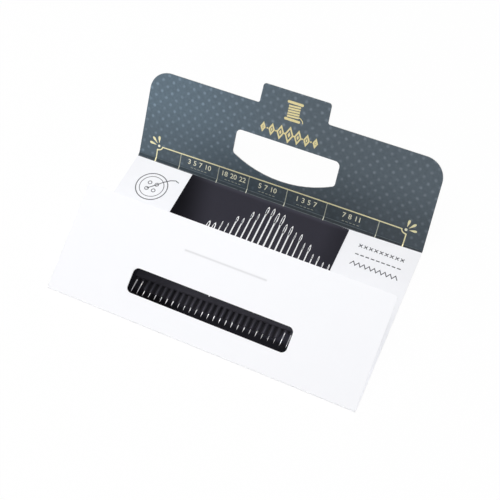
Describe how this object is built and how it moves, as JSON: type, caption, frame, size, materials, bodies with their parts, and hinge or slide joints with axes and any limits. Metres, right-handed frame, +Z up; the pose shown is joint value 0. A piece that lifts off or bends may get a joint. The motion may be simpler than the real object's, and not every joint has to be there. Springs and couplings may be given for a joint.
{
  "type": "needle book",
  "caption": "Folding card needle book with a tuck-in flap, a windowed front panel and a black needle card whose ribbed band grips a row of sewing needles.",
  "frame": {"origin": "centre of the back panel's underside, on the surface that the book lies on", "axes": "+X along the book's width, +Y from the needles' points towards their eyes and the flap, +Z up off the surface"},
  "size_m": [0.12, 0.0931, 0.0383],
  "materials": {
    "white_card": "matt coated card",
    "slate_card": "matt printed card",
    "black_paper": "matt black paper",
    "nickel_needle": "polished nickel plate"
  },
  "bodies": {
    "back": {"back_panel": "white_card", "needle_card": "black_paper", "needle_band": "black_paper"},
    "top_spine": {"top_spine": "slate_card"},
    "flap": {"flap_panel": "slate_card"},
    "bottom_spine": {"bottom_spine": "white_card"},
    "front": {"front_panel": "white_card"},
    "needle_01": {"needle_01": "nickel_needle"},
    "needle_02": {"needle_02": "nickel_needle"},
    "needle_03": {"needle_03": "nickel_needle"},
    "needle_04": {"needle_04": "nickel_needle"},
    "needle_05": {"needle_05": "nickel_needle"},
    "needle_06": {"needle_06": "nickel_needle"},
    "needle_07": {"needle_07": "nickel_needle"},
    "needle_08": {"needle_08": "nickel_needle"},
    "needle_09": {"needle_09": "nickel_needle"},
    "needle_10": {"needle_10": "nickel_needle"},
    "needle_11": {"needle_11": "nickel_needle"},
    "needle_12": {"needle_12": "nickel_needle"},
    "needle_13": {"needle_13": "nickel_needle"},
    "needle_14": {"needle_14": "nickel_needle"},
    "needle_15": {"needle_15": "nickel_needle"},
    "needle_16": {"needle_16": "nickel_needle"},
    "needle_17": {"needle_17": "nickel_needle"},
    "needle_18": {"needle_18": "nickel_needle"},
    "needle_19": {"needle_19": "nickel_needle"},
    "needle_20": {"needle_20": "nickel_needle"},
    "needle_21": {"needle_21": "nickel_needle"},
    "needle_22": {"needle_22": "nickel_needle"},
    "needle_23": {"needle_23": "nickel_needle"},
    "needle_24": {"needle_24": "nickel_needle"},
    "needle_25": {"needle_25": "nickel_needle"},
    "needle_26": {"needle_26": "nickel_needle"},
    "needle_27": {"needle_27": "nickel_needle"},
    "needle_28": {"needle_28": "nickel_needle"}
  },
  "joints": [
    {"name": "flap_fold", "type": "hinge", "parent": "top_spine", "child": "flap", "pos_m": [0, 0.03531, 0.00094], "axis": [1, 0, 0], "range_deg": [-29.4, 58.5]},
    {"name": "front_fold", "type": "hinge", "parent": "bottom_spine", "child": "front", "pos_m": [0, -0.03508, 0.00239], "axis": [1, 0, 0], "range_deg": [0, 135]},
    {"name": "top_spine_fold", "type": "hinge", "parent": "back", "child": "top_spine", "pos_m": [0, 0.034, 0.0002], "axis": [1, 0, 0], "range_deg": [-29.4, 58.5]},
    {"name": "bottom_spine_fold", "type": "hinge", "parent": "back", "child": "bottom_spine", "pos_m": [0, -0.034, 0.0002], "axis": [1, 0, 0], "range_deg": [-25.9, 13.1]},
    {"name": "needle_01_slide", "type": "slide", "parent": "back", "child": "needle_01", "axis": [-0.0279, 0.9996, 0], "range_m": [0, 0.0204]},
    {"name": "needle_02_slide", "type": "slide", "parent": "back", "child": "needle_02", "axis": [-0.0279, 0.9996, 0], "range_m": [0, 0.0203]},
    {"name": "needle_03_slide", "type": "slide", "parent": "back", "child": "needle_03", "axis": [-0.0279, 0.9996, 0], "range_m": [0, 0.0221]},
    {"name": "needle_04_slide", "type": "slide", "parent": "back", "child": "needle_04", "axis": [-0.0279, 0.9996, 0], "range_m": [0, 0.022]},
    {"name": "needle_05_slide", "type": "slide", "parent": "back", "child": "needle_05", "axis": [-0.0279, 0.9996, 0], "range_m": [0, 0.0209]},
    {"name": "needle_06_slide", "type": "slide", "parent": "back", "child": "needle_06", "axis": [-0.0279, 0.9996, 0], "range_m": [0, 0.0209]},
    {"name": "needle_07_slide", "type": "slide", "parent": "back", "child": "needle_07", "axis": [-0.0279, 0.9996, 0], "range_m": [0, 0.0174]},
    {"name": "needle_08_slide", "type": "slide", "parent": "back", "child": "needle_08", "axis": [-0.0279, 0.9996, 0], "range_m": [0, 0.0173]},
    {"name": "needle_09_slide", "type": "slide", "parent": "back", "child": "needle_09", "axis": [-0.0279, 0.9996, 0], "range_m": [0, 0.0155]},
    {"name": "needle_10_slide", "type": "slide", "parent": "back", "child": "needle_10", "axis": [-0.0279, 0.9996, 0], "range_m": [0, 0.0154]},
    {"name": "needle_11_slide", "type": "slide", "parent": "back", "child": "needle_11", "axis": [-0.0279, 0.9996, 0], "range_m": [0, 0.0112]},
    {"name": "needle_12_slide", "type": "slide", "parent": "back", "child": "needle_12", "axis": [-0.0279, 0.9996, 0], "range_m": [0, 0.0111]},
    {"name": "needle_13_slide", "type": "slide", "parent": "back", "child": "needle_13", "axis": [-0.0279, 0.9996, 0], "range_m": [0, 0.007]},
    {"name": "needle_14_slide", "type": "slide", "parent": "back", "child": "needle_14", "axis": [-0.0279, 0.9996, 0], "range_m": [0, 0.007]},
    {"name": "needle_15_slide", "type": "slide", "parent": "back", "child": "needle_15", "axis": [-0.0279, 0.9996, 0], "range_m": [0, 0.0026]},
    {"name": "needle_16_slide", "type": "slide", "parent": "back", "child": "needle_16", "axis": [-0.0279, 0.9996, 0], "range_m": [0, 0.0025]},
    {"name": "needle_17_slide", "type": "slide", "parent": "back", "child": "needle_17", "axis": [-0.0279, 0.9996, 0], "range_m": [0, 0.0037]},
    {"name": "needle_18_slide", "type": "slide", "parent": "back", "child": "needle_18", "axis": [-0.0279, 0.9996, 0], "range_m": [0, 0.0036]},
    {"name": "needle_19_slide", "type": "slide", "parent": "back", "child": "needle_19", "axis": [-0.0279, 0.9996, 0], "range_m": [0, 0.0072]},
    {"name": "needle_20_slide", "type": "slide", "parent": "back", "child": "needle_20", "axis": [-0.0279, 0.9996, 0], "range_m": [0, 0.0072]},
    {"name": "needle_21_slide", "type": "slide", "parent": "back", "child": "needle_21", "axis": [-0.0279, 0.9996, 0], "range_m": [0, 0.0092]},
    {"name": "needle_22_slide", "type": "slide", "parent": "back", "child": "needle_22", "axis": [-0.0279, 0.9996, 0], "range_m": [0, 0.0091]},
    {"name": "needle_23_slide", "type": "slide", "parent": "back", "child": "needle_23", "axis": [-0.0279, 0.9996, 0], "range_m": [0, 0.0123]},
    {"name": "needle_24_slide", "type": "slide", "parent": "back", "child": "needle_24", "axis": [-0.0279, 0.9996, 0], "range_m": [0, 0.0122]},
    {"name": "needle_25_slide", "type": "slide", "parent": "back", "child": "needle_25", "axis": [-0.0279, 0.9996, 0], "range_m": [0, 0.0156]},
    {"name": "needle_26_slide", "type": "slide", "parent": "back", "child": "needle_26", "axis": [-0.0279, 0.9996, 0], "range_m": [0, 0.0156]},
    {"name": "needle_27_slide", "type": "slide", "parent": "back", "child": "needle_27", "axis": [-0.0279, 0.9996, 0], "range_m": [0, 0.0175]},
    {"name": "needle_28_slide", "type": "slide", "parent": "back", "child": "needle_28", "axis": [-0.0279, 0.9996, 0], "range_m": [0, 0.0174]}
  ],
  "couplings": [
    {"joint": "bottom_spine_fold", "follows": "flap_fold", "ratio": -0.44103}
  ]
}
